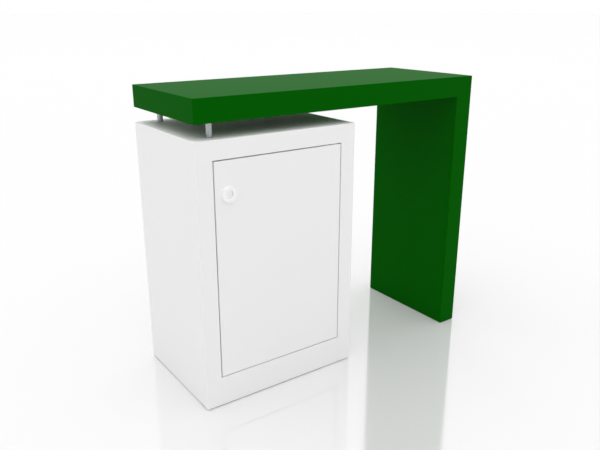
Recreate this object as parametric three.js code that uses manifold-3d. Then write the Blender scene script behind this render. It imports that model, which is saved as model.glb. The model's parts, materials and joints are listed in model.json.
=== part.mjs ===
// Exhibition counter: a lockable cabinet under a countertop that turns down into a leg.
// Lengths are millimetres. X runs to the right, Y to the back and Z up.
// All pieces are laid out from the cabinet's front left corner on the floor, and the last
// step moves them to the frame's origin, under the middle of the whole counter.
import * as THREE from "three";
import { mergeVertices } from "three/addons/utils/BufferGeometryUtils.js";
import Module from "manifold-3d";

const wasm = await Module();
wasm.setup();

// Whole counter
const counterLength = 1175;
const counterDepth = 450;
const slabThickness = 75;
const legThickness = 75;
const cabinetWidth = 600;
const cabinetHeight = 900;
const postHeight = 50;
const cabinetGlideHeight = 3.5;
const legGlideHeight = 1.5;

// Boards
const skinThickness = 18;
const carcassThickness = 18;
const frontThickness = 18;
const shelfThickness = 18;

// Door opening in the front frame
const stileWidth = 56;
const sillHeight = 105;
const topRailHeight = 61.5;
const doorGap = 4;

// Clearances between pieces that fit into each other
const fitGap = 0.3;
const slideGap = 0.5;
const boltPlay = 0.5;
const cutOverrun = 1;

// Ribs and blocks inside the countertop and the leg
const slabRibCount = 2;
const legRibCount = 2;
const postRailWidth = 60;

// Posts that carry the countertop over the cabinet
const postDiameter = 20;
const postFromLeft = 72.5;
const postFromFront = 46;
const postEdgeBreak = 0.5;

// Bolts through the cabinet top, the posts and into the countertop
const boltDiameter = 8;
const boltHeadAcross = 13;
const boltHeadHeight = 5.5;
const boltWasherDiameter = 20;
const boltWasherThickness = 1.5;
const insertDiameter = 12;
const insertLength = 25;
const insertFlangeDiameter = 17;
const insertFlangeThickness = 1.5;
const boltTipRoom = 2;

// Glides under the cabinet and the leg
const cabinetGlideDiameter = 16;
const legGlideDiameter = 30;
const glideInset = 45;
const glideEdgeBreak = 0.8;

// Shelf and its pins
const shelfUnderside = 466;
const shelfSideGap = 1;
const shelfBackGap = 2;
const shelfSetback = 22;
const pinDiameter = 5;
const pinLength = 9;
const pinHoleDepth = 11;
const pinPlateReach = 12;
const pinPlateWidth = 10;
const pinPlateThickness = 2;
const pinBracketHeight = 10;
const pinFromFront = 52;
const pinFromBack = 52;
const pinPitch = 32;
const pinHolesEachWay = 3;

// Door stops behind the lock stile
const stopWidth = 20;
const stopDepth = 10;
const stopHeight = 25;
const stopLap = 5;
const stopInset = 20;

// Knife hinges let into the top and bottom edges of the door
const pivotFromEdge = 18;
const leafLength = 60;
const leafWidth = 12;
const leafThickness = 2.5;
const leafProud = 1;
const hingePinDiameter = 6;
const hingePinPast = 2;
const hingePinRoom = 1;
const hingePinBreak = 0.5;
const hingeWasherDiameter = 12;
const leafScrewHole = 4;
const leafScrewHead = 8;
const leafScrewSpacing = 20;

// Lock, set back from the door's free edge and down from its top
const lockBackset = 47;
const lockFromTop = 105.5;
const rosetteDiameter = 50;
const rosetteHeight = 8;
const rosetteRound = 1;
const rosetteInnerRound = 0.5;
const recessDiameter = 26;
const recessDepth = 8;
const cupDiameter = 30;
const cupFloorThickness = 2;
const barrelDiameter = 18;
const barrelFlangeDiameter = 25;
const barrelFlangeThickness = 2;
const barrelTail = 7;
const plugDiameter = 12;
const plugHeadDiameter = 15;
const plugHeadThickness = 1.25;
const plugTailAcross = 7;
const keyWidth = 1;
const keyHeight = 5.5;
const keyDepth = 9;
const lockNutAcross = 24;
const lockNutThickness = 4;
const camThickness = 2.5;
const camWidth = 14;
const camGrip = 10;
const camScrewAcross = 10;
const camScrewThickness = 3.5;
const strikeWidth = 16;
const strikeHeight = 40;

// Steps round a full circle
const wideSteps = 48;
const roundSteps = 32;
const smallSteps = 16;
const cornerSteps = 5;
const hexSides = 6;

// Levels and places that follow from the sizes above
const cabinetDepth = counterDepth;
const slabUnderside = cabinetHeight + postHeight;
const counterHeight = slabUnderside + slabThickness;
const legInside = counterLength - legThickness;
const skinBack = counterDepth - skinThickness;
const openingLeft = stileWidth;
const openingRight = cabinetWidth - stileWidth;
const openingTop = cabinetHeight - topRailHeight;
const doorLeft = openingLeft + doorGap;
const doorRight = openingRight - doorGap;
const doorBottom = sillHeight + doorGap;
const doorTop = openingTop - doorGap;
const pivotX = doorRight - pivotFromEdge;
const pivotY = frontThickness / 2;
const lockX = doorLeft + lockBackset;
const lockHeight = doorTop - lockFromTop;
const recessFloor = recessDepth - rosetteHeight;
const cupBack = recessFloor + cupFloorThickness;
const boltHoleRadius = boltDiameter / 2 + boltPlay;
const postPlaces = [
  ["front", postFromLeft, postFromFront],
  ["back", postFromLeft, counterDepth - postFromFront],
];

// Board and metal finishes
const finishes = {
  greenLacquer: [0x0a5a0a, 0.25, 0],
  whiteLacquer: [0xf0f0ee, 0.35, 0],
  rawBoard: [0x9c7a52, 0.9, 0],
  birch: [0xc9a877, 0.8, 0],
  brushedSteel: [0xc4c6c8, 0.35, 1],
  zincSteel: [0xa9acb0, 0.45, 1],
  brass: [0xb59a52, 0.4, 1],
  satinChrome: [0xd6d8da, 0.25, 1],
  whitePlastic: [0xf4f4f2, 0.4, 0],
  greyNylon: [0x5e6062, 0.6, 0],
};

const counter = new THREE.Group();
counter.name = "exhibition_counter";

// Adds one named piece with a material of its own
function addPiece(name, geometry, finish) {
  const [colour, roughness, metalness] = finishes[finish];
  const material = new THREE.MeshStandardMaterial({ color: colour, roughness, metalness });
  material.name = finish;
  geometry.computeVertexNormals();
  const mesh = new THREE.Mesh(geometry, material);
  mesh.name = name;
  counter.add(mesh);
}

// Six times the volume enclosed by a triangle mesh, negative if its faces point inwards
function signedVolume(positions, index) {
  const a = new THREE.Vector3();
  const b = new THREE.Vector3();
  const c = new THREE.Vector3();
  let sum = 0;
  for (let i = 0; i < index.length; i += 3) {
    a.fromBufferAttribute(positions, index[i]);
    b.fromBufferAttribute(positions, index[i + 1]);
    c.fromBufferAttribute(positions, index[i + 2]);
    sum += a.dot(b.cross(c));
  }
  return sum;
}

// A closed mesh with shared corners, no empty triangles and its faces outwards
function closedMesh(source) {
  const bare = new THREE.BufferGeometry();
  bare.setAttribute("position", source.getAttribute("position"));
  if (source.index) {
    bare.setIndex(source.index);
  }
  const merged = mergeVertices(bare);
  const old = merged.index.array;
  const kept = [];
  for (let i = 0; i < old.length; i += 3) {
    const [a, b, c] = [old[i], old[i + 1], old[i + 2]];
    if (a !== b && b !== c && a !== c) {
      kept.push(a, b, c);
    }
  }
  if (signedVolume(merged.getAttribute("position"), kept) < 0) {
    for (let i = 0; i < kept.length; i += 3) {
      [kept[i], kept[i + 1]] = [kept[i + 1], kept[i]];
    }
  }
  merged.setIndex(kept);
  return merged;
}

function toManifold(geometry) {
  const vertProperties = new Float32Array(geometry.getAttribute("position").array);
  const triVerts = new Uint32Array(geometry.index.array);
  return new wasm.Manifold(new wasm.Mesh({ numProp: 3, vertProperties, triVerts }));
}

function fromManifold(body) {
  const { vertProperties, triVerts } = body.getMesh();
  const geometry = new THREE.BufferGeometry();
  geometry.setAttribute("position", new THREE.BufferAttribute(new Float32Array(vertProperties), 3));
  geometry.setIndex(new THREE.BufferAttribute(new Uint32Array(triVerts), 1));
  return geometry;
}

function cut(geometry, ...cutters) {
  let body = toManifold(geometry);
  for (const cutter of cutters) {
    body = body.subtract(toManifold(cutter));
  }
  return fromManifold(body);
}

function join(geometry, ...others) {
  let body = toManifold(geometry);
  for (const other of others) {
    body = body.add(toManifold(other));
  }
  return fromManifold(body);
}

// Changes every corner of a geometry with a function from (x, y, z) to a new [x, y, z]
function remap(geometry, place) {
  const positions = geometry.getAttribute("position");
  for (let i = 0; i < positions.count; i += 1) {
    positions.setXYZ(i, ...place(positions.getX(i), positions.getY(i), positions.getZ(i)));
  }
  return closedMesh(geometry);
}

// A board between two opposite corners
function board(x0, x1, y0, y1, z0, z1) {
  const unit = new THREE.BoxGeometry(1, 1, 1);
  return remap(unit, (x, y, z) => [x < 0 ? x0 : x1, y < 0 ? y0 : y1, z < 0 ? z0 : z1]);
}

// A flat outline carried straight along an axis, between two levels on it.
// The outline lies in Y and Z for axis x, in X and Z for axis y, and in X and Y for axis z.
function prism(outline, axis, from, to, steps = cornerSteps) {
  const unit = new THREE.ExtrudeGeometry(outline, {
    depth: 1,
    bevelEnabled: false,
    curveSegments: steps,
  });
  const places = {
    x: (u, v, w) => [w < 0.5 ? from : to, u, v],
    y: (u, v, w) => [u, w < 0.5 ? from : to, v],
    z: (u, v, w) => [u, v, w < 0.5 ? from : to],
  };
  return remap(unit, places[axis]);
}

// A profile of [radius, level] corners turned round an axis.
// The centre is [Y, Z] for axis x, [X, Z] for axis y and [X, Y] for axis z.
function turned(profile, axis, [cu, cv], steps = roundSteps) {
  const corners = profile.map(([radius, level]) => new THREE.Vector2(radius, level));
  corners.push(corners[0].clone());
  const lathe = new THREE.LatheGeometry(corners, steps);
  const places = {
    x: (u, level, v) => [level, cu + u, cv + v],
    y: (u, level, v) => [cu + u, level, cv + v],
    z: (u, level, v) => [cu + u, cv + v, level],
  };
  return remap(lathe, places[axis]);
}

// A round rod or a round hole's cutter
function rod(axis, centre, diameter, from, to, steps = roundSteps) {
  const radius = diameter / 2;
  return turned([[0, from], [radius, from], [radius, to], [0, to]], axis, centre, steps);
}

// A flat ring
function ring(axis, centre, outer, inner, from, to, steps = roundSteps) {
  const profile = [
    [inner / 2, from],
    [outer / 2, from],
    [outer / 2, to],
    [inner / 2, to],
  ];
  return turned(profile, axis, centre, steps);
}

function polygon(corners) {
  return new THREE.Shape(corners.map(([u, v]) => new THREE.Vector2(u, v)));
}

// A hexagon outline of a given size across its flats
function hexagon(cu, cv, across) {
  const radius = across / Math.sqrt(3);
  const corners = [];
  for (let i = 0; i < hexSides; i += 1) {
    const angle = (i * 2 * Math.PI) / hexSides;
    corners.push([cu + radius * Math.cos(angle), cv + radius * Math.sin(angle)]);
  }
  return polygon(corners);
}

// A square outline round a centre
function square(cu, cv, across) {
  const half = across / 2;
  return polygon([
    [cu - half, cv - half],
    [cu + half, cv - half],
    [cu + half, cv + half],
    [cu - half, cv + half],
  ]);
}

// A bar outline with round ends, whose end centres lie on a line of constant v
function roundedBar(u0, u1, v, width) {
  const half = width / 2;
  const shape = new THREE.Shape();
  shape.moveTo(u0, v - half);
  shape.lineTo(u1, v - half);
  shape.absarc(u1, v, half, -Math.PI / 2, Math.PI / 2, false);
  shape.lineTo(u0, v + half);
  shape.absarc(u0, v, half, Math.PI / 2, (3 * Math.PI) / 2, false);
  return shape;
}

// Countertop and leg: two angled fascias with skins and ribs between them
function addFascias() {
  const outline = () => polygon([
    [0, slabUnderside],
    [legInside, slabUnderside],
    [legInside, legGlideHeight],
    [counterLength, legGlideHeight],
    [counterLength, counterHeight],
    [0, counterHeight],
  ]);
  addPiece("counter_front_fascia", prism(outline(), "y", 0, skinThickness), "greenLacquer");
  addPiece("counter_back_fascia", prism(outline(), "y", skinBack, counterDepth), "greenLacquer");
}

function postBoltHole(from, to) {
  return postPlaces.map(([, x, y]) => rod("z", [x, y], boltHoleRadius * 2, from, to, smallSteps));
}

function addSkins() {
  const [front, back] = [skinThickness, skinBack];
  const coreTop = counterHeight - skinThickness;
  const coreBottom = slabUnderside + skinThickness;
  const innerSkinRight = legInside + skinThickness;
  const outerSkinLeft = counterLength - skinThickness;
  const green = (name, ...sides) => addPiece(name, board(...sides), "greenLacquer");
  green("counter_top_skin", 0, counterLength, front, back, coreTop, counterHeight);
  green("counter_left_cap", 0, skinThickness, front, back, coreBottom, coreTop);
  green("leg_inner_skin", legInside, innerSkinRight, front, back, legGlideHeight, slabUnderside);
  green("leg_outer_skin", outerSkinLeft, counterLength, front, back, legGlideHeight, coreTop);
  const footTop = legGlideHeight + skinThickness;
  green("leg_foot_rail", innerSkinRight, outerSkinLeft, front, back, legGlideHeight, footTop);
  const underside = cut(
    board(0, innerSkinRight, front, back, slabUnderside, coreBottom),
    ...postBoltHole(slabUnderside - cutOverrun, coreBottom + cutOverrun),
  );
  addPiece("counter_underside_skin", underside, "greenLacquer");
}

function addRibs() {
  const [front, back] = [skinThickness, skinBack];
  const coreTop = counterHeight - skinThickness;
  const coreBottom = slabUnderside + skinThickness;
  const coreLeft = legInside + skinThickness;
  const coreRight = counterLength - skinThickness;
  const railLeft = postFromLeft - postRailWidth / 2;
  const railRight = railLeft + postRailWidth;
  const insertHole = insertDiameter + fitGap * 2;
  const flangeHole = insertFlangeDiameter + fitGap * 2;
  const insertTop = coreBottom + insertLength + fitGap;
  const flangeTop = coreBottom + insertFlangeThickness + fitGap;
  const holes = postPlaces.flatMap(([, x, y]) => [
    rod("z", [x, y], insertHole, coreBottom - cutOverrun, insertTop, smallSteps),
    rod("z", [x, y], flangeHole, coreBottom - cutOverrun, flangeTop, smallSteps),
  ]);
  const rail = cut(board(railLeft, railRight, front, back, coreBottom, coreTop), ...holes);
  addPiece("counter_post_rail", rail, "birch");
  const slabRibStep = (coreLeft - railRight) / (slabRibCount + 1);
  for (let i = 1; i <= slabRibCount; i += 1) {
    const left = railRight + slabRibStep * i - skinThickness / 2;
    const rib = board(left, left + skinThickness, front, back, coreBottom, coreTop);
    addPiece(`counter_rib_${i}`, rib, "rawBoard");
  }
  const corner = board(coreLeft, coreRight, front, back, coreBottom, coreTop);
  addPiece("counter_corner_block", corner, "birch");
  const footTop = legGlideHeight + skinThickness;
  const legRibStep = (coreBottom - footTop) / (legRibCount + 1);
  for (let i = 1; i <= legRibCount; i += 1) {
    const bottom = footTop + legRibStep * i - skinThickness / 2;
    const rib = board(coreLeft, coreRight, front, back, bottom, bottom + skinThickness);
    addPiece(`leg_rib_${i}`, rib, "rawBoard");
  }
}

// Posts, bolts, washers and threaded inserts
function addPosts() {
  const boltHole = boltHoleRadius * 2;
  const washerTop = cabinetHeight - carcassThickness;
  const headTop = washerTop - boltWasherThickness;
  const headBottom = headTop - boltHeadHeight;
  const insertBottom = slabUnderside + skinThickness;
  const insertTop = insertBottom + insertLength;
  for (const [side, x, y] of postPlaces) {
    const radius = postDiameter / 2;
    const inner = radius - postEdgeBreak;
    const post = turned([
      [boltHoleRadius, cabinetHeight],
      [inner, cabinetHeight],
      [radius, cabinetHeight + postEdgeBreak],
      [radius, slabUnderside - postEdgeBreak],
      [inner, slabUnderside],
      [boltHoleRadius, slabUnderside],
    ], "z", [x, y], wideSteps);
    addPiece(`${side}_post`, post, "brushedSteel");
    const washer = ring("z", [x, y], boltWasherDiameter, boltHole, headTop, washerTop);
    addPiece(`${side}_post_washer`, washer, "zincSteel");
    const shankBottom = headTop - boltHeadHeight / 2;
    const shank = rod("z", [x, y], boltDiameter, shankBottom, insertTop - boltTipRoom, smallSteps);
    const head = prism(hexagon(x, y, boltHeadAcross), "z", headBottom, headTop);
    addPiece(`${side}_post_bolt`, join(head, shank), "zincSteel");
    const bore = boltDiameter / 2 + fitGap;
    const insert = turned([
      [bore, insertBottom],
      [insertFlangeDiameter / 2, insertBottom],
      [insertFlangeDiameter / 2, insertBottom + insertFlangeThickness],
      [insertDiameter / 2, insertBottom + insertFlangeThickness],
      [insertDiameter / 2, insertTop],
      [bore, insertTop],
    ], "z", [x, y], smallSteps);
    addPiece(`${side}_post_insert`, insert, "brass");
  }
}

// A glide under a board, with its lower edge broken
function glide(x, y, diameter, height) {
  const radius = diameter / 2;
  const corners = [
    [0, 0],
    [radius - glideEdgeBreak, 0],
    [radius, glideEdgeBreak],
    [radius, height],
    [0, height],
  ];
  return turned(corners, "z", [x, y], smallSteps);
}

function addGlides() {
  const rows = [["front", glideInset], ["back", counterDepth - glideInset]];
  const columns = [
    ["left", carcassThickness / 2, cabinetGlideDiameter, cabinetGlideHeight],
    ["right", cabinetWidth - carcassThickness / 2, cabinetGlideDiameter, cabinetGlideHeight],
    ["leg", counterLength - legThickness / 2, legGlideDiameter, legGlideHeight],
  ];
  for (const [row, y] of rows) {
    for (const [column, x, ...size] of columns) {
      addPiece(`${row}_${column}_glide`, glide(x, y, ...size), "greyNylon");
    }
  }
}

// Outline of a knife hinge leaf seen from above, with an allowance all round
function leafOutline(allowance) {
  const endRadius = leafWidth / 2;
  const farEnd = pivotX + endRadius + fitGap * 2 - leafLength;
  return roundedBar(farEnd + endRadius, pivotX, pivotY, leafWidth + allowance * 2);
}

// Levels of the pieces of a knife hinge at the door's top (up is 1) or bottom (up is -1)
function hingeLevels(up) {
  const doorEdge = up > 0 ? doorTop : doorBottom;
  const frameEdge = doorEdge + up * doorGap;
  const doorSeat = doorEdge - up * (leafThickness - leafProud);
  const doorFace = doorEdge + up * leafProud;
  const frameFace = frameEdge - up * leafProud;
  const frameSeat = frameEdge + up * (leafThickness - leafProud);
  const pinEnd = doorSeat - up * hingePinPast;
  return { doorEdge, frameEdge, doorSeat, doorFace, frameFace, frameSeat, pinEnd };
}

// Countersunk screw holes of a leaf that is screwed on from the face side
function leafScrewHoles(face, seat) {
  const away = Math.sign(face - seat);
  const holes = [];
  for (const spaces of [1, 2]) {
    const x = pivotX - leafScrewSpacing * spaces;
    holes.push(turned([
      [0, seat - away * cutOverrun],
      [leafScrewHole / 2, seat - away * cutOverrun],
      [leafScrewHole / 2, seat],
      [leafScrewHead / 2, face],
      [leafScrewHead / 2, face + away * cutOverrun],
      [0, face + away * cutOverrun],
    ], "z", [x, pivotY], smallSteps));
  }
  return holes;
}

function addHinge(name, up) {
  const { doorSeat, doorFace, frameFace, frameSeat, pinEnd } = hingeLevels(up);
  const pinHole = hingePinDiameter + fitGap * 2;
  const centre = [pivotX, pivotY];
  const doorLeaf = cut(
    prism(leafOutline(0), "z", doorSeat, doorFace),
    rod("z", centre, pinHole, doorSeat - up * cutOverrun, doorFace + up * cutOverrun),
    ...leafScrewHoles(doorFace, doorSeat),
  );
  addPiece(`${name}_hinge_door_leaf`, doorLeaf, "satinChrome");
  const pinRadius = hingePinDiameter / 2;
  const pin = turned([
    [0, (frameFace + frameSeat) / 2],
    [pinRadius, (frameFace + frameSeat) / 2],
    [pinRadius, pinEnd + up * hingePinBreak],
    [pinRadius - hingePinBreak, pinEnd],
    [0, pinEnd],
  ], "z", centre);
  const frameLeaf = cut(
    prism(leafOutline(0), "z", frameFace, frameSeat),
    ...leafScrewHoles(frameFace, frameSeat),
  );
  addPiece(`${name}_hinge_frame_leaf`, join(frameLeaf, pin), "satinChrome");
  const washer = ring("z", centre, hingeWasherDiameter, pinHole, doorFace, frameFace);
  addPiece(`${name}_hinge_washer`, washer, "brass");
}

// Cabinet carcass
function addFrontFrame() {
  const outline = polygon([
    [0, cabinetGlideHeight],
    [cabinetWidth, cabinetGlideHeight],
    [cabinetWidth, cabinetHeight],
    [0, cabinetHeight],
  ]);
  outline.holes.push(polygon([
    [openingLeft, sillHeight],
    [openingLeft, openingTop],
    [openingRight, openingTop],
    [openingRight, sillHeight],
  ]));
  const mortises = [1, -1].map((up) => {
    const { frameEdge, frameSeat } = hingeLevels(up);
    return prism(leafOutline(fitGap), "z", frameEdge - up * cutOverrun, frameSeat);
  });
  const frame = cut(prism(outline, "y", 0, frontThickness), ...mortises);
  addPiece("cabinet_front_frame", frame, "whiteLacquer");
}

// Rows of holes for the shelf pins, drilled from the inside face of a side panel
function pinHoles(inside, into) {
  const axisLevel = shelfUnderside - pinBracketHeight / 2;
  const holes = [];
  for (const y of [frontThickness + pinFromFront, cabinetDepth - carcassThickness - pinFromBack]) {
    for (let i = -pinHolesEachWay; i <= pinHolesEachWay; i += 1) {
      const centre = [y, axisLevel + pinPitch * i];
      const hole = rod("x", centre, pinDiameter + fitGap * 2, inside - into * cutOverrun,
        inside + into * pinHoleDepth, smallSteps / 2);
      holes.push(hole);
    }
  }
  return holes;
}

function addCarcass() {
  const [front, back] = [frontThickness, cabinetDepth];
  const inLeft = carcassThickness;
  const inRight = cabinetWidth - carcassThickness;
  const inBack = cabinetDepth - carcassThickness;
  const topUnderside = cabinetHeight - carcassThickness;
  const floorUnderside = sillHeight - carcassThickness;
  const left = cut(
    board(0, inLeft, front, back, cabinetGlideHeight, cabinetHeight),
    ...pinHoles(inLeft, -1),
  );
  addPiece("cabinet_left_side", left, "whiteLacquer");
  const right = cut(
    board(inRight, cabinetWidth, front, back, cabinetGlideHeight, cabinetHeight),
    ...pinHoles(inRight, 1),
  );
  addPiece("cabinet_right_side", right, "whiteLacquer");
  const rear = board(inLeft, inRight, inBack, back, cabinetGlideHeight, cabinetHeight);
  addPiece("cabinet_back", rear, "whiteLacquer");
  const top = cut(
    board(inLeft, inRight, front, inBack, topUnderside, cabinetHeight),
    ...postBoltHole(topUnderside - cutOverrun, cabinetHeight + cutOverrun),
  );
  addPiece("cabinet_top", top, "whiteLacquer");
  const floor = board(inLeft, inRight, front, inBack, floorUnderside, sillHeight);
  addPiece("cabinet_floor", floor, "whiteLacquer");
}

// One shelf pin: a peg in the side panel with a gusseted plate under the shelf
function shelfPin(inside, inward, y) {
  const plateEnd = inside + inward * pinPlateReach;
  const webFoot = inside + inward * pinPlateThickness;
  const bottom = shelfUnderside - pinBracketHeight;
  const bracket = polygon([
    [inside, shelfUnderside],
    [plateEnd, shelfUnderside],
    [plateEnd, shelfUnderside - pinPlateThickness],
    [webFoot, bottom],
    [inside, bottom],
  ]);
  const width = pinPlateWidth / 2;
  const axisLevel = shelfUnderside - pinBracketHeight / 2;
  const peg = rod("x", [y, axisLevel], pinDiameter, inside - inward * pinLength, webFoot,
    smallSteps);
  return join(prism(bracket, "y", y - width, y + width), peg);
}

function addShelf() {
  const inLeft = carcassThickness;
  const inRight = cabinetWidth - carcassThickness;
  const inBack = cabinetDepth - carcassThickness;
  const shelf = board(
    inLeft + shelfSideGap,
    inRight - shelfSideGap,
    frontThickness + shelfSetback,
    inBack - shelfBackGap,
    shelfUnderside,
    shelfUnderside + shelfThickness,
  );
  addPiece("cabinet_shelf", shelf, "whiteLacquer");
  const rows = [["front", frontThickness + pinFromFront], ["back", inBack - pinFromBack]];
  for (const [row, y] of rows) {
    addPiece(`${row}_left_shelf_pin`, shelfPin(inLeft, 1, y), "zincSteel");
    addPiece(`${row}_right_shelf_pin`, shelfPin(inRight, -1, y), "zincSteel");
  }
}

function addDoorStops() {
  const right = doorLeft + stopLap;
  const [front, back] = [frontThickness, frontThickness + stopDepth];
  const upperTop = openingTop - stopInset;
  const lowerBottom = sillHeight + stopInset;
  const stop = (bottom, top) => board(right - stopWidth, right, front, back, bottom, top);
  addPiece("upper_door_stop", stop(upperTop - stopHeight, upperTop), "whitePlastic");
  addPiece("lower_door_stop", stop(lowerBottom, lowerBottom + stopHeight), "whitePlastic");
  const strikeBottom = lockHeight - strikeHeight / 2;
  const strike = board(
    openingLeft - strikeWidth,
    openingLeft,
    frontThickness,
    frontThickness + barrelTail,
    strikeBottom,
    strikeBottom + strikeHeight,
  );
  addPiece("lock_strike", strike, "zincSteel");
}

// Door leaf with its hinge mortises, pin holes and lock hole
function addDoor() {
  const cutters = [];
  for (const up of [1, -1]) {
    const { doorEdge, doorSeat, pinEnd } = hingeLevels(up);
    const room = hingePinDiameter + hingePinRoom * 2;
    cutters.push(prism(leafOutline(fitGap), "z", doorEdge + up * cutOverrun, doorSeat));
    cutters.push(rod("z", [pivotX, pivotY], room, doorEdge, pinEnd - up * hingePinRoom));
  }
  const lockHole = barrelDiameter + fitGap * 2;
  cutters.push(rod("y", [lockX, lockHeight], lockHole, -cutOverrun, frontThickness + cutOverrun));
  cutters.push(rod("y", [lockX, lockHeight], cupDiameter + fitGap * 2, -cutOverrun, cupBack));
  const door = board(doorLeft, doorRight, 0, frontThickness, doorBottom, doorTop);
  addPiece("door_panel", cut(door, ...cutters), "whiteLacquer");
}

// Corner points of a quarter circle, from one angle to the next
function arc(centreRadius, centreLevel, size, startAngle, endAngle) {
  const points = [];
  for (let i = 0; i <= cornerSteps; i += 1) {
    const angle = startAngle + ((endAngle - startAngle) * i) / cornerSteps;
    points.push([centreRadius + size * Math.cos(angle), centreLevel + size * Math.sin(angle)]);
  }
  return points;
}

function addLock() {
  const centre = [lockX, lockHeight];
  const face = -rosetteHeight;
  const barrelHole = barrelDiameter / 2 + fitGap;
  const outer = rosetteDiameter / 2;
  const recess = recessDiameter / 2;
  const rosette = turned([
    [barrelHole, cupBack],
    [cupDiameter / 2, cupBack],
    [cupDiameter / 2, 0],
    [outer, 0],
    ...arc(outer - rosetteRound, face + rosetteRound, rosetteRound, 0, -Math.PI / 2),
    ...arc(recess + rosetteInnerRound, face + rosetteInnerRound, rosetteInnerRound,
      -Math.PI / 2, -Math.PI),
    [recess, recessFloor],
    [barrelHole, recessFloor],
  ], "y", centre, wideSteps);
  addPiece("lock_rosette", rosette, "whitePlastic");

  const flangeFace = recessFloor - barrelFlangeThickness;
  const barrelEnd = frontThickness + barrelTail;
  const plugHole = plugDiameter / 2 + fitGap;
  const plugSeat = flangeFace + plugHeadThickness;
  const barrel = turned([
    [plugHole, plugSeat],
    [plugHeadDiameter / 2 + fitGap, plugSeat],
    [plugHeadDiameter / 2 + fitGap, flangeFace],
    [barrelFlangeDiameter / 2, flangeFace],
    [barrelFlangeDiameter / 2, recessFloor],
    [barrelDiameter / 2, recessFloor],
    [barrelDiameter / 2, barrelEnd],
    [plugHole, barrelEnd],
  ], "y", centre);
  addPiece("lock_barrel", barrel, "satinChrome");

  const nut = cut(
    prism(hexagon(...centre, lockNutAcross), "y", frontThickness,
      frontThickness + lockNutThickness),
    rod("y", centre, barrelDiameter + fitGap * 2, frontThickness - cutOverrun,
      frontThickness + lockNutThickness + cutOverrun),
  );
  addPiece("lock_nut", nut, "zincSteel");

  const camFront = barrelEnd + slideGap;
  const camBack = camFront + camThickness;
  const plugBody = turned([
    [0, flangeFace],
    [plugHeadDiameter / 2, flangeFace],
    [plugHeadDiameter / 2, plugSeat],
    [plugDiameter / 2, plugSeat],
    [plugDiameter / 2, camFront],
    [0, camFront],
  ], "y", centre);
  const plugTail = prism(square(...centre, plugTailAcross), "y", barrelEnd, camBack);
  const [keyLeft, keyBottom] = [lockX - keyWidth / 2, lockHeight - keyHeight / 2];
  const keyway = board(keyLeft, keyLeft + keyWidth, flangeFace - cutOverrun,
    flangeFace + keyDepth, keyBottom, keyBottom + keyHeight);
  addPiece("lock_plug", cut(join(plugBody, plugTail), keyway), "satinChrome");

  // The cam hangs straight down when the door is unlocked
  const camReach = lockX - openingLeft + camGrip;
  const camTip = lockHeight - camReach + camWidth / 2;
  const camOutline = roundedBar(camTip, lockHeight, lockX, camWidth);
  const camBlank = prism(camOutline, "y", camFront, camBack, smallSteps / 2);
  const cam = remap(camBlank, (u, y, v) => [v, y, u]);
  const camHole = prism(square(...centre, plugTailAcross + fitGap * 2), "y",
    camFront - cutOverrun, camBack + cutOverrun);
  addPiece("lock_cam", cut(cam, camHole), "zincSteel");
  const screwEnd = camBack + camScrewThickness;
  const screw = prism(hexagon(...centre, camScrewAcross), "y", camBack, screwEnd);
  addPiece("lock_cam_screw", screw, "zincSteel");
}

addFascias();
addSkins();
addRibs();
addPosts();
addGlides();
addFrontFrame();
addCarcass();
addShelf();
addDoorStops();
addDoor();
addHinge("top", 1);
addHinge("bottom", -1);
addLock();

// Moves the origin under the middle of the whole counter, rosette included
const originX = counterLength / 2;
const originY = (counterDepth - rosetteHeight) / 2;
for (const mesh of counter.children) {
  mesh.geometry.translate(-originX, -originY, 0);
}

export default counter;
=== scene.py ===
import json
import math

import bmesh
import bpy
import numpy as np
from mathutils import Color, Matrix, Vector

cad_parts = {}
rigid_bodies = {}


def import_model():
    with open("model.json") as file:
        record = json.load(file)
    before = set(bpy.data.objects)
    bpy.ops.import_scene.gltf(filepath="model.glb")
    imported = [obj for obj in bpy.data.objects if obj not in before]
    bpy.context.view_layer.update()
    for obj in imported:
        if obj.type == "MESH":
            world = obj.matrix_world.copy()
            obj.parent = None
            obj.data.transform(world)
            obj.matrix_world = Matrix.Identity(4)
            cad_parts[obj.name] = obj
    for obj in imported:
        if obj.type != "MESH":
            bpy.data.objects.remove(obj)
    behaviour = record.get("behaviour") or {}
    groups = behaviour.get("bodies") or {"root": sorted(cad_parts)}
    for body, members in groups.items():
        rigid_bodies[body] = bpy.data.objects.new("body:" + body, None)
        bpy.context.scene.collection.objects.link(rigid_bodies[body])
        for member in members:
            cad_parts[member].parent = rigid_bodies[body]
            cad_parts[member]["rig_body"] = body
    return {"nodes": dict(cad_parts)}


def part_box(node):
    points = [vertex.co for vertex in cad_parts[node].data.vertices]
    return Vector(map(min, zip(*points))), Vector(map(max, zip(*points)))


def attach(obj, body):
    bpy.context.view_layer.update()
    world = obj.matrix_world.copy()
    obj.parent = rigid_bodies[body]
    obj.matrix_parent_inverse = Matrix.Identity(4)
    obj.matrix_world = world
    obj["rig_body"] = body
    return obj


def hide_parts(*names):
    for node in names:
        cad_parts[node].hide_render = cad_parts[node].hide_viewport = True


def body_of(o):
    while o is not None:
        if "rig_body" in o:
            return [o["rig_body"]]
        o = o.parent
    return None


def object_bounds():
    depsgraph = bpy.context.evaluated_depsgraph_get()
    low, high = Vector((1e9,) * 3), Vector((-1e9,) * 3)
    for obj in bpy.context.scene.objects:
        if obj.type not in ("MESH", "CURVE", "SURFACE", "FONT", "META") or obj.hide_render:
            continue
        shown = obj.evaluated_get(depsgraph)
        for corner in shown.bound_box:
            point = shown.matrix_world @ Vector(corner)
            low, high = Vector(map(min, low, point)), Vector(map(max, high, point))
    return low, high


# Exhibition counter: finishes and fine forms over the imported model
# Lengths are metres in the model's own frame: X right, Y back, Z up

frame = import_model()
cadLow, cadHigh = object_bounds()
cadNodes = frame["nodes"]
mm = 0.001
print("packed model:", len(cadNodes), "nodes")


# Camera, from the vanishing points of the countertop and the cabinet

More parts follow.
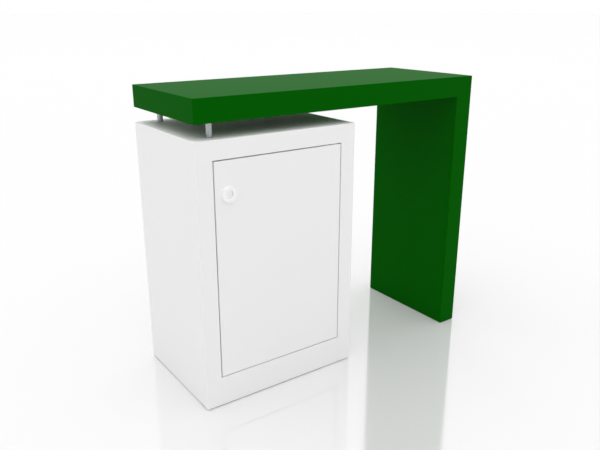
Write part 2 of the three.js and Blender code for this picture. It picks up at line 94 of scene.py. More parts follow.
view = {
    "lens": 38.7455,
    "place": (-1.3962, -1.8974, 1.2627),
    "turn": (71.5627, -0.018, -35.1647),  # degrees about X, Y and Z
}


def makeCamera():
    camera = bpy.data.objects.new("viewCamera", bpy.data.cameras.new("viewCamera"))
    camera.data.lens = view["lens"]
    camera.location = view["place"]
    camera.rotation_euler = [math.radians(angle) for angle in view["turn"]]
    bpy.context.scene.collection.objects.link(camera)
    bpy.context.scene.camera = camera


# Node tools

def paint(red, green, blue):
    # a colour as a picture shows it, 0 to 255, turned into the one that a shader takes
    shown = Color((red / 255, green / 255, blue / 255))
    return (*shown.from_srgb_to_scene_linear(), 1.0)


def addNode(tree, kind, sockets=None, **settings):
    # a socket is given a number or a colour, or another node's output to link
    node = tree.nodes.new(kind)
    for name, value in settings.items():
        setattr(node, name, value)
    for name, value in (sockets or {}).items():
        if isinstance(value, bpy.types.NodeSocket):
            tree.links.new(value, node.inputs[name])
        else:
            node.inputs[name].default_value = value
    return node


def startMaterial(name):
    material = bpy.data.materials.new(name)
    material.use_nodes = True
    material.node_tree.nodes.clear()
    return material, material.node_tree


def startGroup(name, inputs, outputs):
    tree = bpy.data.node_groups.new(name, "ShaderNodeTree")
    for label, value in inputs.items():
        isVector = isinstance(value, tuple)
        kind = "NodeSocketVector" if isVector else "NodeSocketFloat"
        tree.interface.new_socket(label, in_out="INPUT", socket_type=kind).default_value = value
    for label in outputs:
        tree.interface.new_socket(label, in_out="OUTPUT", socket_type="NodeSocketFloat")
    return tree, addNode(tree, "NodeGroupInput").outputs


def useGroup(tree, group, **values):
    node = addNode(tree, "ShaderNodeGroup", node_tree=group)
    for label, value in values.items():
        node.inputs[label].default_value = value
    return node.outputs


def objectPlace(tree):
    return addNode(tree, "ShaderNodeTexCoord").outputs["Object"]


def calculate(tree, operation, first, second):
    return addNode(tree, "ShaderNodeMath", {0: first, 1: second}, operation=operation).outputs[0]


def noiseAt(tree, place, length, detail, **more):
    # noise whose lumps are about as long as the given length
    sockets = {"Vector": place, "Scale": calculate(tree, "DIVIDE", 1.0, length), "Detail": detail}
    return addNode(tree, "ShaderNodeTexNoise", {**sockets, **more}).outputs[0]


def between(tree, value, fromLow, fromHigh, toLow=0.0, toHigh=1.0):
    # smooth step from one range into another
    sockets = {
        "Value": value,
        "From Min": fromLow,
        "From Max": fromHigh,
        "To Min": toLow,
        "To Max": toHigh,
    }
    return addNode(tree, "ShaderNodeMapRange", sockets, interpolation_type="SMOOTHSTEP").outputs[0]


def blendColours(tree, share, first, second):
    # a Mix node names its sockets alike for every kind: its colours are 6 and 7, and 2 comes out
    sockets = {"Factor": share, 6: first, 7: second}
    return addNode(tree, "ShaderNodeMix", sockets, data_type="RGBA").outputs[2]


# Shared effects, each a node group

coatEffect = {
    "rippleDetail": 1.5,
    "cloudDetail": 4.0,
    "cloudRoughness": 0.6,
    "cloudDistortion": 0.8,
    "marks": (0.42, 0.72),  # the cloud's values between which its marks come up
}


def makeSprayedCoat():
    # fine ripple of a sprayed coat, and the faint cloudy marks that wiping leaves on it
    inputs = {"Ripple": 4 * mm, "Cloud": 160 * mm}
    tree, given = startGroup("sprayedCoat", inputs, ["Height", "Marks"])
    place = objectPlace(tree)
    ripple = noiseAt(tree, place, given["Ripple"], coatEffect["rippleDetail"])
    cloud = noiseAt(tree, place, given["Cloud"], coatEffect["cloudDetail"],
                    Roughness=coatEffect["cloudRoughness"],
                    Distortion=coatEffect["cloudDistortion"])
    marks = between(tree, cloud, *coatEffect["marks"])
    addNode(tree, "NodeGroupOutput", {"Height": ripple, "Marks": marks})
    return tree


edgeEffect = {
    "samples": 6,
    "likeness": (0.995, 0.8),  # of the rounded and the flat normal, from no edge to a sharp one
    "patchDetail": 3.0,
    "patches": (0.35, 0.65),
    "leastShare": 0.25,  # of the mask, where it fades out between two patches
}


def makeEdgeSheenAndWear():
    # mask along sharp edges, broken up so that it comes and goes; with a lighter edge colour, as
    # on the green lacquer, it is a painted highlight along the edges, and with a slightly darker
    # one, as on the white lacquer, it is faint wear
    inputs = {"Width": 1.2 * mm, "Patch": 45 * mm}
    tree, given = startGroup("edgeSheenAndWear", inputs, ["Mask"])
    rounded = addNode(tree, "ShaderNodeBevel", {"Radius": given["Width"]},
                      samples=edgeEffect["samples"])
    flat = addNode(tree, "ShaderNodeNewGeometry").outputs["True Normal"]
    same = addNode(tree, "ShaderNodeVectorMath", {0: rounded.outputs[0], 1: flat},
                   operation="DOT_PRODUCT").outputs["Value"]
    edge = between(tree, same, *edgeEffect["likeness"])
    patches = noiseAt(tree, objectPlace(tree), given["Patch"], edgeEffect["patchDetail"])
    share = between(tree, patches, *edgeEffect["patches"], edgeEffect["leastShare"], 1.0)
    addNode(tree, "NodeGroupOutput", {"Mask": calculate(tree, "MULTIPLY", edge, share)})
    return tree


lineEffect = {
    "detail": 3.0,
    "colourRange": (0.35, 0.65),  # the noise's values from the one colour to the other
    "roughnessRange": (0.3, 0.7),
}


def makeBrushLines():
    # noise drawn out along one direction: Pitch is the size of its lumps along each axis
    tree, given = startGroup("brushLines", {"Pitch": (20 * mm, 0.4 * mm, 0.4 * mm)}, ["Lines"])
    scaled = addNode(tree, "ShaderNodeVectorMath", {0: objectPlace(tree), 1: given["Pitch"]},
                     operation="DIVIDE").outputs["Vector"]
    sockets = {"Vector": scaled, "Scale": 1.0, "Detail": lineEffect["detail"]}
    lines = addNode(tree, "ShaderNodeTexNoise", sockets).outputs[0]
    addNode(tree, "NodeGroupOutput", {"Lines": lines})
    return tree


grainEffect = {
    "detail": 2.0,
    "flecks": (0.1, 0.6),  # the distances from a cell's middle over which its fleck ends
}


def makeFineGrain():
    # even speckle of moulded plastic, plating and pressed fibre
    inputs = {"Size": 0.5 * mm, "Fleck": 6 * mm}
    tree, given = startGroup("fineGrain", inputs, ["Height", "Flecks"])
    place = objectPlace(tree)
    fine = noiseAt(tree, place, given["Size"], grainEffect["detail"])
    perFleck = calculate(tree, "DIVIDE", 1.0, given["Fleck"])
    cells = addNode(tree, "ShaderNodeTexVoronoi", {"Vector": place, "Scale": perFleck})
    flecks = between(tree, cells.outputs["Distance"], *grainEffect["flecks"])
    addNode(tree, "NodeGroupOutput", {"Height": fine, "Flecks": flecks})
    return tree


sprayedCoat = makeSprayedCoat()
edgeSheenAndWear = makeEdgeSheenAndWear()
brushLines = makeBrushLines()
fineGrain = makeFineGrain()


# Finishes

plainLook = {  # what a finish has where its own look says nothing
    "metallic": 0.0,
    "ior": 1.5,
    "specular": 0.5,
    "coat": 0.0,
    "coatRoughness": 0.1,
    "coatIor": 1.5,
}


def closeMaterial(material, tree, colour, roughness, height, ownLook):
    # the shader itself, with the height as a bump of the look's own depth
    look = {**plainLook, **ownLook}
    bump = addNode(tree, "ShaderNodeBump", {"Height": height, "Distance": look["bump"]})
    shader = addNode(tree, "ShaderNodeBsdfPrincipled", {
        "Base Color": colour,
        "Roughness": roughness,
        "Metallic": look["metallic"],
        "IOR": look["ior"],
        "Specular IOR Level": look["specular"],
        "Coat Weight": look["coat"],
        "Coat Roughness": look["coatRoughness"],
        "Coat IOR": look["coatIor"],
        "Normal": bump.outputs[0],
        "Coat Normal": bump.outputs[0],
    })
    addNode(tree, "ShaderNodeOutputMaterial", {"Surface": shader.outputs[0]})
    return material


greenLook = {
    "colour": paint(0, 89, 0),
    # lighter green along the rounded edges: a painted highlight, broken into patches
    "edge": paint(24, 112, 24),
    "roughness": 0.3,
    "markedRoughness": 0.38,
    "specular": 0.0,
    "coat": 0.098,
    "coatIor": 1.33,
    "coatRoughness": 0.12,
    "ripple": 5 * mm,
    "cloud": 180 * mm,
    "bump": 0.012 * mm,
    "edgeWidth": 1.2 * mm,
}
whiteLook = {
    "colour": paint(247, 247, 247),
    "edge": paint(245, 245, 244),
    "roughness": 0.34,
    "markedRoughness": 0.42,
    "specular": 0.0,
    "coat": 0.1,
    "coatRoughness": 0.2,
    "ripple": 4 * mm,
    "cloud": 140 * mm,
    "bump": 0.01 * mm,
    "edgeWidth": 1.2 * mm,
}


def makeLacquer(name, look):
    material, tree = startMaterial(name)
    coat = useGroup(tree, sprayedCoat, Ripple=look["ripple"], Cloud=look["cloud"])
    sheenAndWear = useGroup(tree, edgeSheenAndWear, Width=look["edgeWidth"])
    # the edge colour goes on along the mask: a painted highlight on the green lacquer, faint wear
    # on the white
    colour = blendColours(tree, sheenAndWear["Mask"], look["colour"], look["edge"])
    rough = between(tree, coat["Marks"], 0.0, 1.0, look["roughness"], look["markedRoughness"])
    return closeMaterial(material, tree, colour, rough, coat["Height"], look)


steelLook = {
    "colour": paint(186, 188, 189),
    "line": paint(160, 162, 164),
    "roughness": 0.24,
    "lineRoughness": 0.4,
    "metallic": 1.0,
    "pitch": (9 * mm, 9 * mm, 0.25 * mm),  # lines run round the post
    "bump": 0.01 * mm,
}
chromeLook = {
    "colour": paint(250, 251, 252),
    "line": paint(246, 247, 248),
    "roughness": 0.36,
    "lineRoughness": 0.46,
    "metallic": 1.0,
    "pitch": (12 * mm, 0.3 * mm, 0.3 * mm),
    "bump": 0.004 * mm,
}
brassLook = {
    "colour": paint(196, 168, 98),
    "line": paint(168, 138, 72),
    "roughness": 0.28,
    "lineRoughness": 0.42,
    "metallic": 1.0,
    "pitch": (3 * mm, 3 * mm, 0.2 * mm),
    "bump": 0.006 * mm,
}


def makeBrushed(name, look):
    material, tree = startMaterial(name)
    lines = useGroup(tree, brushLines, Pitch=look["pitch"])["Lines"]
    share = between(tree, lines, *lineEffect["colourRange"])
    colour = blendColours(tree, share, look["colour"], look["line"])
    rough = between(tree, lines, *lineEffect["roughnessRange"], look["roughness"],
                    look["lineRoughness"])
    return closeMaterial(material, tree, colour, rough, lines, look)


zincLook = {
    "colour": paint(178, 181, 185),
    "fleck": paint(154, 158, 164),
    "roughness": 0.32,
    "fleckRoughness": 0.48,
    "metallic": 1.0,
    "size": 0.4 * mm,
    "fleckSize": 3 * mm,
    "bump": 0.008 * mm,
}
plasticLook = {
    "colour": paint(253, 253, 253),
    "fleck": paint(251, 251, 250),
    "roughness": 0.3,
    "fleckRoughness": 0.36,
    "ior": 1.46,
    "size": 0.6 * mm,
    "fleckSize": 9 * mm,
    "bump": 0.006 * mm,
}
nylonLook = {
    "colour": paint(96, 98, 100),
    "fleck": paint(86, 88, 90),
    "roughness": 0.5,
    "fleckRoughness": 0.62,
    "ior": 1.5,
    "size": 0.4 * mm,
    "fleckSize": 5 * mm,
    "bump": 0.02 * mm,
}
fibreLook = {
    "colour": paint(168, 134, 94),
    "fleck": paint(142, 108, 72),
    "roughness": 0.85,
    "fleckRoughness": 0.95,
    "ior": 1.4,
    "size": 0.5 * mm,
    "fleckSize": 1.6 * mm,
    "bump": 0.05 * mm,
}


def makeGrained(name, look):
    material, tree = startMaterial(name)
    grain = useGroup(tree, fineGrain, Size=look["size"], Fleck=look["fleckSize"])
    colour = blendColours(tree, grain["Flecks"], look["fleck"], look["colour"])
    rough = between(tree, grain["Flecks"], 0.0, 1.0, look["fleckRoughness"], look["roughness"])
    return closeMaterial(material, tree, colour, rough, grain["Height"], look)


birchLook = {
    "colour": paint(214, 184, 136),
    "line": paint(186, 150, 102),
    "roughness": 0.62,
    "lineRoughness": 0.78,
    "ior": 1.45,
    "pitch": (1.2 * mm, 60 * mm, 1.2 * mm),  # grain runs from front to back
    "bump": 0.05 * mm,
}

finishes = {
    "green_lacquer": makeLacquer("greenLacquer", greenLook),
    "white_lacquer": makeLacquer("whiteLacquer", whiteLook),
    "raw_board": makeGrained("rawBoard", fibreLook),
    "birch": makeBrushed("birch", birchLook),
    "brushed_steel": makeBrushed("brushedSteel", steelLook),
    "zinc_steel": makeGrained("zincSteel", zincLook),
    "brass": makeBrushed("brass", brassLook),
    "satin_chrome": makeBrushed("satinChrome", chromeLook),
    "white_plastic": makeGrained("whitePlastic", plasticLook),
    "grey_nylon": makeGrained("greyNylon", nylonLook),
}
print("finishes:", ", ".join(finishes))


# Mesh tools

meshing = {
    "mergeWithin": 0.002 * mm,
    "flatAngle": math.radians(0.2),
    "creaseAngle": math.radians(40),
    "boardSegments": 3,
    "smallSegments": 2,
}


def showMesh(name, work):
    # a bmesh as a shown object, its faces smooth up to the crease angle
    mesh = bpy.data.meshes.new(name)
    work.to_mesh(mesh)
    work.free()
    mesh.shade_smooth()
    mesh.set_sharp_from_angle(angle=meshing["creaseAngle"])
    piece = bpy.data.objects.new(name, mesh)
    bpy.context.scene.collection.objects.link(piece)
    return piece


def evenNormals(piece):
    # large flat faces keep their own direction right up to a rounding
    modifier = piece.modifiers.new("evenNormals", "WEIGHTED_NORMAL")
    modifier.keep_sharp = True


def ringSurface(name, rings, closedProfile=False):
    # rings is an array of ring, step and place: each ring is joined to the next by four-sided
    # faces, the steps run all the way round, and an open end is closed by one flat face
    numbers = np.arange(rings.shape[0] * rings.shape[1]).reshape(rings.shape[:2])
    lower = numbers if closedProfile else numbers[:-1]
    upper = np.roll(numbers, -1, axis=0)[:len(lower)]
    corners = [lower, np.roll(lower, -1, axis=1), np.roll(upper, -1, axis=1), upper]
    faces = np.stack(corners, axis=-1).reshape(-1, 4).tolist()
    if not closedProfile:
        faces += [numbers[0, ::-1].tolist(), numbers[-1].tolist()]
    raw = bpy.data.meshes.new(name + "Raw")
    raw.from_pydata(rings.reshape(-1, 3), [], faces)
    work = bmesh.new()
    work.from_mesh(raw)
    bmesh.ops.remove_doubles(work, verts=work.verts, dist=meshing["mergeWithin"])
    bmesh.ops.recalc_face_normals(work, faces=work.faces)
    bpy.data.meshes.remove(raw)
    return showMesh(name, work)


def quarterTurn(steps):
    return np.linspace(0, math.pi / 2, steps + 1)


def easedOutline(corners, steps):
    # the outline's outer corners as quarter circles: a point is its base plus the radius times
    # its direction, and an inner corner keeps one point, on the diagonal
    corners = np.array(corners, float)
    along = np.roll(corners, -1, axis=0) - corners
    along /= np.linalg.norm(along, axis=1)[:, None]
    after = np.column_stack([along[:, 1], -along[:, 0]])
    before = np.roll(after, 1, axis=0)
    turn = quarterTurn(steps)[:, None]
    starts, directions = [], []
    for corner, first, second in zip(corners, before, after):
        isOuter = first[0] * second[1] - first[1] * second[0] > 0
        fan = first * np.cos(turn) + second * np.sin(turn) if isOuter else [first + second]
        starts.append(np.tile([corner, first + second], (len(fan), 1, 1)))
        directions.append(fan)
    starts = np.concatenate(starts)
    return starts[:, 0], starts[:, 1], np.concatenate(directions)


def easedProfileAcross(name, corners, low, high, easing, steps):
    # the outline in X and Z is carried from front to back; within the easing of both ends it
    # draws in along a quarter circle, so that every outer edge is rounded alike
    place, diagonal, direction = easedOutline(corners, steps)
    base = place - easing * diagonal
    turn = quarterTurn(steps)
    radius = easing * np.sin(turn)
    rise = easing * (1 - np.cos(turn))
    radii = np.concatenate([radius, radius[::-1]])
    levels = np.concatenate([low + rise, (high - rise)[::-1]])
    flat = base + radii[:, None, None] * direction
    rings = np.insert(flat, 1, levels[:, None], axis=2)
    return ringSurface(name, rings)


def filletPath(corners, steps):
    # a path of [radius, level, fillet] corners, each fillet an arc that touches both its legs
    corners = np.array(corners, float)
    places, fillets = corners[:, :2], corners[:, 2]
    path = []
    for i, (corner, fillet) in enumerate(zip(places, fillets)):
        if fillet == 0:
            path.append(corner[None])
            continue
        legs = np.array([places[i - 1], places[(i + 1) % len(places)]]) - corner
        legs /= np.linalg.norm(legs, axis=1)[:, None]
        half = math.acos(np.clip(legs[0] @ legs[1], -1, 1)) / 2
        middle = legs.sum(axis=0)
        centre = corner + middle / np.linalg.norm(middle) * fillet / math.sin(half)
        ends = corner + legs * fillet / math.tan(half) - centre
        sweep = math.pi - 2 * half
        share = np.linspace(0, 1, steps + 1)[:, None]
        arc = np.sin((1 - share) * sweep) * ends[0] + np.sin(share * sweep) * ends[1]
        path.append(centre + arc / math.sin(sweep))
    return np.concatenate(path)


def turnedSurface(name, profile, centre, axis, steps):
    # each [radius, level] point of the closed profile goes round the axis in a circle
    angle = np.linspace(0, 2 * math.pi, steps, endpoint=False)
    radius, level = profile[:, :1], profile[:, 1:]
    across = [radius * np.cos(angle) + centre[0], radius * np.sin(angle) + centre[1]]
    across.insert(axis, np.broadcast_to(level, across[0].shape))
    return ringSurface(name, np.stack(across, axis=-1), closedProfile=True)


def standIn(piece, slotName, *nodeNames):
    # the piece takes the place, the body and the finish of these nodes
    piece.data.materials.append(finishes[slotName])
    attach(piece, body_of(cadNodes[nodeNames[0]])[0])
    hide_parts(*nodeNames)


def camelName(nodeName):
    words = nodeName.split("_")
    return words[0] + "".join(word.capitalize() for word in words[1:])


def mergedCopy(nodeName):
    # a node's mesh with its doubles merged and its flat faces whole
    work = bmesh.new()
    work.from_mesh(cadNodes[nodeName].data)
    bmesh.ops.remove_doubles(work, verts=work.verts, dist=meshing["mergeWithin"])
    bmesh.ops.dissolve_limit(work, angle_limit=meshing["flatAngle"], verts=work.verts,
                             edges=work.edges)
    return showMesh(camelName(nodeName), work)


def easeLines(piece, easing, boxes):
    # rounds the edges that lie on two sides of a box at once; a box may ask for one side's axis
    mesh = piece.data
    places = np.empty(len(mesh.vertices) * 3)
    mesh.vertices.foreach_get("co", places)
    ends = np.empty(len(mesh.edges) * 2, int)
    mesh.edges.foreach_get("vertices", ends)
    places, ends = places.reshape(-1, 3), ends.reshape(-1, 2)
    marked = np.zeros(len(ends), bool)
    for low, high, neededAxis in boxes:
        sides = np.stack([np.abs(places - low), np.abs(places - high)]) < meshing["mergeWithin"]
        shared = (sides[:, ends[:, 0]] & sides[:, ends[:, 1]]).any(axis=0)
        fits = shared.sum(axis=1) >= 2
        marked |= fits if neededAxis is None else fits & shared[:, neededAxis]
    weights = mesh.attributes.new("bevel_weight_edge", "FLOAT", "EDGE")
    weights.data.foreach_set("value", marked.astype(np.float32))
    modifier = piece.modifiers.new("easedEdges", "BEVEL")
    modifier.limit_method = "WEIGHT"
    modifier.width = easing
    modifier.segments = meshing["boardSegments"]
    evenNormals(piece)


def easeAll(piece, easing):
    # rounds every sharp edge of a small piece
    modifier = piece.modifiers.new("easedEdges", "BEVEL")
    modifier.limit_method = "ANGLE"
    modifier.angle_limit = meshing["creaseAngle"]
    modifier.width = easing
    modifier.segments = meshing["smallSegments"]
    evenNormals(piece)


# Countertop and leg: one lacquered angle

greenAngle = {"easing": 1.0 * mm, "steps": 5}


def makeAngle():
    low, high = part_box("counter_front_fascia")
    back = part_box("counter_back_fascia")[1].y
    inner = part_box("leg_inner_skin")[0].x
    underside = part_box("counter_underside_skin")[0].z
    corners = [
        (low.x, underside),
        (inner, underside),
        (inner, low.z),
        (high.x, low.z),
        (high.x, high.z),
        (low.x, high.z),
    ]
    piece = easedProfileAcross("greenAngle", corners, low.y, back, greenAngle["easing"],
                               greenAngle["steps"])
    evenNormals(piece)
    standIn(piece, "green_lacquer", "counter_front_fascia", "counter_back_fascia",
            "counter_top_skin", "counter_left_cap", "counter_underside_skin",
            "leg_inner_skin", "leg_outer_skin", "leg_foot_rail")


makeAngle()
print("countertop and leg: one angle with eased edges")


# Cabinet boards: eased only where the cabinet has a real edge

cabinet = {
    "easing": 0.6 * mm,
    "doorEasing": 0.5 * mm,
    "shelfEasing": 0.8 * mm,
    "doorGap": 4 * mm,
}


def makeBoard(nodeName, easing, boxes):
    piece = mergedCopy(nodeName)
    easeLines(piece, easing, boxes)
    standIn(piece, "white_lacquer", nodeName)


def makeCabinet():
    frameLow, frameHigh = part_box("cabinet_front_frame")
    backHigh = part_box("cabinet_back")[1]
    outside = (frameLow, (frameHigh.x, backHigh.y, frameHigh.z), None)
    for nodeName in ("cabinet_left_side", "cabinet_right_side", "cabinet_back", "cabinet_top"):
        makeBoard(nodeName, cabinet["easing"], [outside])
    doorLow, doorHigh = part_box("door_panel")
    gap = cabinet["doorGap"]
    opening = ((doorLow.x - gap, doorLow.y, doorLow.z - gap),
               (doorHigh.x + gap, doorHigh.y, doorHigh.z + gap), 1)
    makeBoard("cabinet_front_frame", cabinet["easing"], [outside, opening])
    makeBoard("cabinet_shelf", cabinet["shelfEasing"], [(*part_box("cabinet_shelf"), None)])
    makeBoard("door_panel", cabinet["doorEasing"], [(doorLow, doorHigh, None)])


makeCabinet()
print("cabinet: boards, frame, shelf and door with eased edges")


# Posts between the cabinet and the countertop

post = {
    "bore": 9 * mm,
    "fillet": 0.7 * mm,
    "boreFillet": 0.3 * mm,
    "filletSteps": 4,
    "steps": 96,
}


def makePosts():
    for side in ("front", "back"):
        low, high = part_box(side + "_post")
        outer, inner = (high.x - low.x) / 2, post["bore"] / 2
        profile = filletPath([
            (inner, low.z, post["boreFillet"]),
            (outer, low.z, post["fillet"]),
            (outer, high.z, post["fillet"]),
            (inner, high.z, post["boreFillet"]),
        ], post["filletSteps"])
        centre = ((low.x + high.x) / 2, (low.y + high.y) / 2)
        piece = turnedSurface(side + "Post", profile, centre, 2, post["steps"])
        evenNormals(piece)
        standIn(piece, "brushed_steel", side + "_post")


makePosts()
print("posts: turned and brushed")


# Lock: collar and barrel

lock = {
    "collar": 8 * mm,
    "cup": 30 * mm,
    "recess": 26 * mm,
    "recessDepth": 8 * mm,
    "hole": 18.6 * mm,
    "round": 0.45 * mm,
    "innerRound": 0.3 * mm,
    "floorRound": 0.2 * mm,
    "collarFilletSteps": 6,
    "steps": 128,
    "flangeThickness": 2 * mm,
    "flangeRound": 0.5 * mm,
    "barrelFilletSteps": 4,
    "barrel": 18 * mm,
    "plugHole": 12.6 * mm,
    "plugSeat": 15.6 * mm,
    "plugSeatDepth": 1.3 * mm,  # the plug turns a hair's breadth above its seat
}


def makeCollar():
    low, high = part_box("lock_rosette")
    centre = ((low.x + high.x) / 2, (low.z + high.z) / 2)
    outer, recess, hole = (high.x - low.x) / 2, lock["recess"] / 2, lock["hole"] / 2
    recessFloor = low.y + lock["recessDepth"]
    profile = filletPath([
        (hole, high.y, 0),
        (lock["cup"] / 2, high.y, 0),
        (lock["cup"] / 2, low.y + lock["collar"], 0),
        (outer, low.y + lock["collar"], 0),
        (outer, low.y, lock["round"]),
        (recess, low.y, lock["innerRound"]),
        (recess, recessFloor, lock["floorRound"]),
        (hole, recessFloor, 0),
    ], lock["collarFilletSteps"])
    piece = turnedSurface("lockCollar", profile, centre, 1, lock["steps"])
    evenNormals(piece)
    standIn(piece, "white_plastic", "lock_rosette")


def makeBarrel():
    low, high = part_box("lock_barrel")
    centre = ((low.x + high.x) / 2, (low.z + high.z) / 2)
    flange, shell, hole = (high.x - low.x) / 2, lock["barrel"] / 2, lock["plugHole"] / 2
    seat, flangeBack = low.y + lock["plugSeatDepth"], low.y + lock["flangeThickness"]
    profile = filletPath([
        (hole, seat, 0),
        (lock["plugSeat"] / 2, seat, 0),
        (lock["plugSeat"] / 2, low.y, 0),
        (flange, low.y, lock["flangeRound"]),
        (flange, flangeBack, 0),
        (shell, flangeBack, 0),
        (shell, high.y, 0),
        (hole, high.y, 0),
    ], lock["barrelFilletSteps"])
    piece = turnedSurface("lockBarrel", profile, centre, 1, lock["steps"])
    evenNormals(piece)
    standIn(piece, "satin_chrome", "lock_barrel")


makeCollar()
makeBarrel()
print("lock: collar and barrel turned")


# Small parts of the lock, the hinges, the stops and the shelf

smallParts = {
    "easing": 0.15 * mm,
    "slots": {
        "lock_plug": "satin_chrome",
        "lock_cam": "zinc_steel",
        "lock_cam_screw": "zinc_steel",
        "lock_nut": "zinc_steel",
        "lock_strike": "zinc_steel",
        "upper_door_stop": "white_plastic",
        "lower_door_stop": "white_plastic",
        "top_hinge_door_leaf": "satin_chrome",
        "top_hinge_frame_leaf": "satin_chrome",
        "bottom_hinge_door_leaf": "satin_chrome",
        "bottom_hinge_frame_leaf": "satin_chrome",
        "front_left_shelf_pin": "zinc_steel",
        "front_right_shelf_pin": "zinc_steel",
        "back_left_shelf_pin": "zinc_steel",
        "back_right_shelf_pin": "zinc_steel",
    },
}


def makeSmallParts():
    for nodeName, slotName in smallParts["slots"].items():
        piece = mergedCopy(nodeName)
        easeAll(piece, smallParts["easing"])
        standIn(piece, slotName, nodeName)


makeSmallParts()
print("small parts:", len(smallParts["slots"]), "with their sharp edges rounded")


# Countersunk screws of the hinges, the door stops and the strike

screw = {
    "head": 7.4 * mm,
    "headHeight": 1.9 * mm,
    "sunk": 0.1 * mm,
    "crown": 0.2 * mm,
    "shank": 3.4 * mm,
    "length": 12 * mm,
    "crossLength": 4.4 * mm,
    "crossWidth": 1.0 * mm,
    "crossSide": 0.25 * mm,
    "crossDepth": 1.3 * mm,
    "firstRing": 0.02,  # share of the head's radius
    "point": 0.1,  # share of the shank's radius
    "rings": 14,
    "steps": 64,
    "hingeSpacing": 20 * mm,
    "strikeSpacing": 24 * mm,
    "turns": (0.2, 2.9, 12),  # of the crosses in radians: the first, the last and how many
}


def screwRings():
    # the head is a low crown, crown * (1 - (r/R)^2), less the cross, a smooth step of the distance
    # to its two bars; a cone, a straight shank and a point follow, ring by ring
    headRadius, shankRadius = screw["head"] / 2, screw["shank"] / 2
    angle = np.linspace(0, 2 * math.pi, screw["steps"], endpoint=False)
    radius = np.linspace(screw["firstRing"], 1, screw["rings"])[:, None] * headRadius
    x, y = radius * np.cos(angle), radius * np.sin(angle)
    narrow = np.minimum(np.abs(x), np.abs(y)) - screw["crossWidth"] / 2
    far = np.maximum(np.abs(x), np.abs(y)) - screw["crossLength"] / 2
    share = np.clip(-np.maximum(narrow, far) / screw["crossSide"], 0, 1)
    level = screw["crown"] * (1 - (radius / headRadius) ** 2)
    level = level - screw["crossDepth"] * share * share * (3 - 2 * share)
    head = np.stack([x, y, level], axis=-1)
    below = np.array([
        (shankRadius, -screw["headHeight"]),
        (shankRadius, -screw["length"] + shankRadius),
        (screw["point"] * shankRadius, -screw["length"]),
    ])
    body = [below[:, :1] * np.cos(angle), below[:, :1] * np.sin(angle)]
    body.append(np.broadcast_to(below[:, 1:], body[0].shape))
    return np.concatenate([head, np.stack(body, axis=-1)])


def placeScrew(name, place, facing, bodyNode, turn):
    # the head looks along one of the model's axes, 1, 2 and 3, with a minus for the way back
    rings = screwRings()
    cosTurn, sinTurn = math.cos(turn), math.sin(turn)
    x = rings[..., 0] * cosTurn - rings[..., 1] * sinTurn
    y = rings[..., 0] * sinTurn + rings[..., 1] * cosTurn
    along = (rings[..., 2] - screw["sunk"]) * math.copysign(1, facing)
    across = [x, y]
    across.insert(abs(facing) - 1, along)
    piece = ringSurface(name, np.stack(across, axis=-1) + np.array(place))
    piece.data.materials.append(finishes["zinc_steel"])
    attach(piece, body_of(cadNodes[bodyNode])[0])


def makeScrews():
    turns = iter(np.linspace(*screw["turns"]))
    for side in ("top", "bottom"):
        low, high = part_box(side + "_hinge_washer")
        lowerLeaf, upperLeaf = ("door", "frame") if side == "top" else ("frame", "door")
        middle = (low + high) / 2
        for i in (1, 2):
            x = middle.x - screw["hingeSpacing"] * i
            placeScrew(f"{side}HingeLowerScrew{i}", (x, middle.y, low.z), 3,
                       f"{side}_hinge_{lowerLeaf}_leaf", next(turns))
            placeScrew(f"{side}HingeUpperScrew{i}", (x, middle.y, high.z), -3,
                       f"{side}_hinge_{upperLeaf}_leaf", next(turns))
    strikeLow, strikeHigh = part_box("lock_strike")
    middle, half = (strikeLow + strikeHigh) / 2, screw["strikeSpacing"] / 2
    for name, rise in (("strikeLowerScrew", -half), ("strikeUpperScrew", half)):
        place = (middle.x, strikeHigh.y, middle.z + rise)
        placeScrew(name, place, 2, "lock_strike", next(turns))
    for side in ("upper", "lower"):
        low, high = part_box(side + "_door_stop")
        # in the middle of what lies on the stile, which ends where the strike does
        place = ((low.x + strikeHigh.x) / 2, high.y, (low.z + high.z) / 2)
        placeScrew(side + "StopScrew", place, 2, side + "_door_stop", next(turns))


makeScrews()
print("screws: hinges, strike and stops")


# Nodes whose shape is kept take a finish by the material they were packed with

def dressNodes():
    for node in cadNodes.values():
        slot = node.material_slots[0]
        slot.material = finishes[slot.material.name]


dressNodes()
print("model's own nodes: finished")


# Floor, backdrop and light

pureWhite = (1, 1, 1, 1)


def seenShare(tree):
    # 1 for the rays that show a thing as it is, straight or in a reflection
    rays = addNode(tree, "ShaderNodeLightPath").outputs
    return rays, calculate(tree, "MAXIMUM", rays["Is Camera Ray"], rays["Is Glossy Ray"])


studioFloor = {
    "size": 400.0,
    "bounceColour": paint(220, 220, 220),  # for the light that it throws back on the object
    "litColour": paint(230, 230, 230),
    "ownColour": paint(250, 250, 250),
    "ownShare": 0.17,  # how much of the floor's look is its own white, and not the light on it
    "polishIor": 3.3,
    "polishRoughness": 0.058,
    "polishWay": (0.575, 0.818, 0.0),  # along this way the polish blurs less than across it
    "polishDrawn": 0.55,  # 0 would blur alike all round
    "polishedTo": 8.0,  # from this far out the polish fades, so that no line shows at the horizon
    "plainFrom": 45.0,  # from this far out there is none left
}


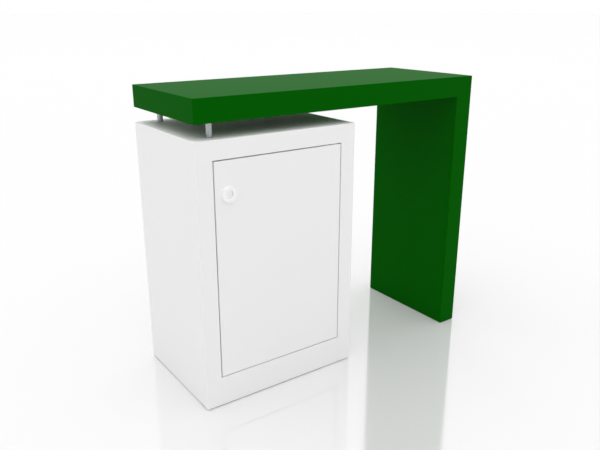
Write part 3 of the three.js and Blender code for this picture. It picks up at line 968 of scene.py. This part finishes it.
def makeFloor():
    half = studioFloor["size"] / 2
    corners = [(-half, -half, 0), (half, -half, 0), (half, half, 0), (-half, half, 0)]
    mesh = bpy.data.meshes.new("studioFloor")
    mesh.from_pydata(corners, [], [(0, 1, 2, 3)])
    floor = bpy.data.objects.new("studioFloor", mesh)
    bpy.context.scene.collection.objects.link(floor)
    material, tree = startMaterial("studioFloor")
    rays, seen = seenShare(tree)
    litColour = blendColours(tree, rays["Is Camera Ray"], studioFloor["bounceColour"],
                             studioFloor["litColour"])
    lit = addNode(tree, "ShaderNodeBsdfDiffuse", {"Color": litColour}).outputs[0]
    own = addNode(tree, "ShaderNodeEmission", {"Color": studioFloor["ownColour"]}).outputs[0]
    ownShare = calculate(tree, "MULTIPLY", seen, studioFloor["ownShare"])
    plain = addNode(tree, "ShaderNodeMixShader", {0: ownShare, 1: lit, 2: own}).outputs[0]
    polishWay = addNode(tree, "ShaderNodeCombineXYZ", dict(enumerate(studioFloor["polishWay"])))
    polish = addNode(tree, "ShaderNodeBsdfGlossy", {
        "Color": pureWhite,
        "Roughness": studioFloor["polishRoughness"],
        "Anisotropy": studioFloor["polishDrawn"],
        "Tangent": polishWay.outputs[0],
    }).outputs[0]
    fresnel = addNode(tree, "ShaderNodeFresnel", {"IOR": studioFloor["polishIor"]}).outputs[0]
    away = addNode(tree, "ShaderNodeVectorMath", {0: objectPlace(tree)},
                   operation="LENGTH").outputs["Value"]
    polished = between(tree, away, studioFloor["polishedTo"], studioFloor["plainFrom"], 1.0, 0.0)
    mirrored = calculate(tree, "MULTIPLY", fresnel, rays["Is Camera Ray"])
    polishShare = calculate(tree, "MULTIPLY", mirrored, polished)
    whole = addNode(tree, "ShaderNodeMixShader", {0: polishShare, 1: plain, 2: polish})
    addNode(tree, "ShaderNodeOutputMaterial", {"Surface": whole.outputs[0]})
    mesh.materials.append(material)


studioSky = {"horizonStrength": 0.215, "zenithStrength": 1.78}


def makeSky():
    world = bpy.data.worlds.new("studioSky")
    bpy.context.scene.world = world
    world.use_nodes = True
    tree = world.node_tree
    tree.nodes.clear()
    rays, seen = seenShare(tree)
    shown = calculate(tree, "MAXIMUM", seen, rays["Is Transmission Ray"])
    way = addNode(tree, "ShaderNodeTexCoord").outputs["Generated"]
    rise = addNode(tree, "ShaderNodeSeparateXYZ", {0: way}).outputs["Z"]
    strength = addNode(tree, "ShaderNodeMapRange", {
        "Value": rise,
        "To Min": studioSky["horizonStrength"],
        "To Max": studioSky["zenithStrength"],
    }).outputs[0]
    light = addNode(tree, "ShaderNodeBackground", {"Color": pureWhite, "Strength": strength})
    white = addNode(tree, "ShaderNodeBackground", {"Color": pureWhite, "Strength": 1.0})
    both = addNode(tree, "ShaderNodeMixShader",
                   {0: shown, 1: light.outputs[0], 2: white.outputs[0]})
    addNode(tree, "ShaderNodeOutputWorld", {"Surface": both.outputs[0]})


lamps = {
    "keyLamp": {"place": (-3.0, -3.6, 3.4), "size": 3.6, "power": 3.2},
}


def makeLamps():
    target = (cadLow + cadHigh) / 2
    for name, lamp in lamps.items():
        data = bpy.data.lights.new(name, "AREA")
        data.size = lamp["size"]
        data.energy = lamp["power"]
        light = bpy.data.objects.new(name, data)
        light.location = lamp["place"]
        light.rotation_mode = "QUATERNION"
        light.rotation_quaternion = (target - light.location).to_track_quat("-Z", "Y")
        bpy.context.scene.collection.objects.link(light)


makeCamera()
makeFloor()
makeSky()
makeLamps()
bpy.context.scene.view_settings.view_transform = "Standard"
print("floor, light and camera: set")
